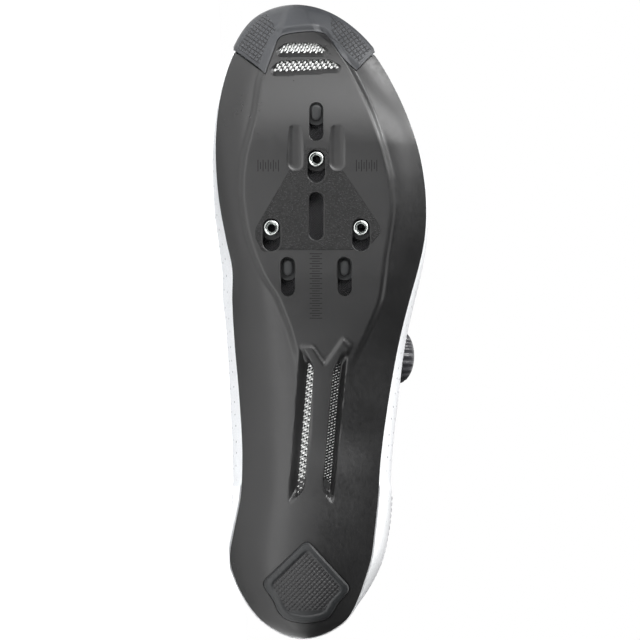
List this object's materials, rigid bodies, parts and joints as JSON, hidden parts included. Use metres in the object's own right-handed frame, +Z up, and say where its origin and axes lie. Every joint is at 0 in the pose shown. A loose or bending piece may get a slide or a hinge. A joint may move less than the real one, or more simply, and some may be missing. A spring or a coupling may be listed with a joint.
{
  "type": "cycling shoe",
  "caption": "Low-cut road cycling shoe with a stiff sole, slotted cleat fixing, rubber toe and heel pads and a dial lace.",
  "frame": {"origin": "middle of the bounding box in plan, on the floor that the shoe lies on", "axes": "-X towards the toe, -Y out of the sole, +Z up: the shoe lies on its inner side with its outer side up"},
  "size_m": [0.297, 0.1094, 0.0995],
  "materials": {
    "sole_plate": "dark grey satin filled nylon",
    "toe_rubber": "dark grey rubber with knurled legs",
    "heel_rubber": "near-black rubber with a scaled face",
    "nut_steel": "bright plated steel",
    "blank_plastic": "dark matte plastic",
    "upper_shell": "white smooth microfibre with fine perforations",
    "tongue_cloth": "pale padded mesh",
    "insole_cloth": "black woven cloth on foam",
    "guide_plastic": "black satin plastic",
    "lace_cord": "black coated cord",
    "dial_plastic": "black satin plastic"
  },
  "bodies": {
    "root": {"outsole": "sole_plate", "toe_bumper": "toe_rubber", "heel_pad": "heel_rubber", "cleat_nut_front": "nut_steel", "cleat_nut_inner": "nut_steel", "cleat_nut_outer": "nut_steel", "slot_blank_front": "blank_plastic", "slot_blank_inner": "blank_plastic", "slot_blank_outer": "blank_plastic", "upper": "upper_shell", "tongue": "tongue_cloth", "insole": "insole_cloth", "lace_guide_inner_1": "guide_plastic", "lace_guide_inner_2": "guide_plastic", "lace_guide_inner_3": "guide_plastic", "lace_guide_outer_1": "guide_plastic", "lace_guide_outer_2": "guide_plastic", "lace_guide_outer_3": "guide_plastic", "lace": "lace_cord", "dial_base": "dial_plastic", "dial_knob": "dial_plastic"}
  },
  "joints": []
}
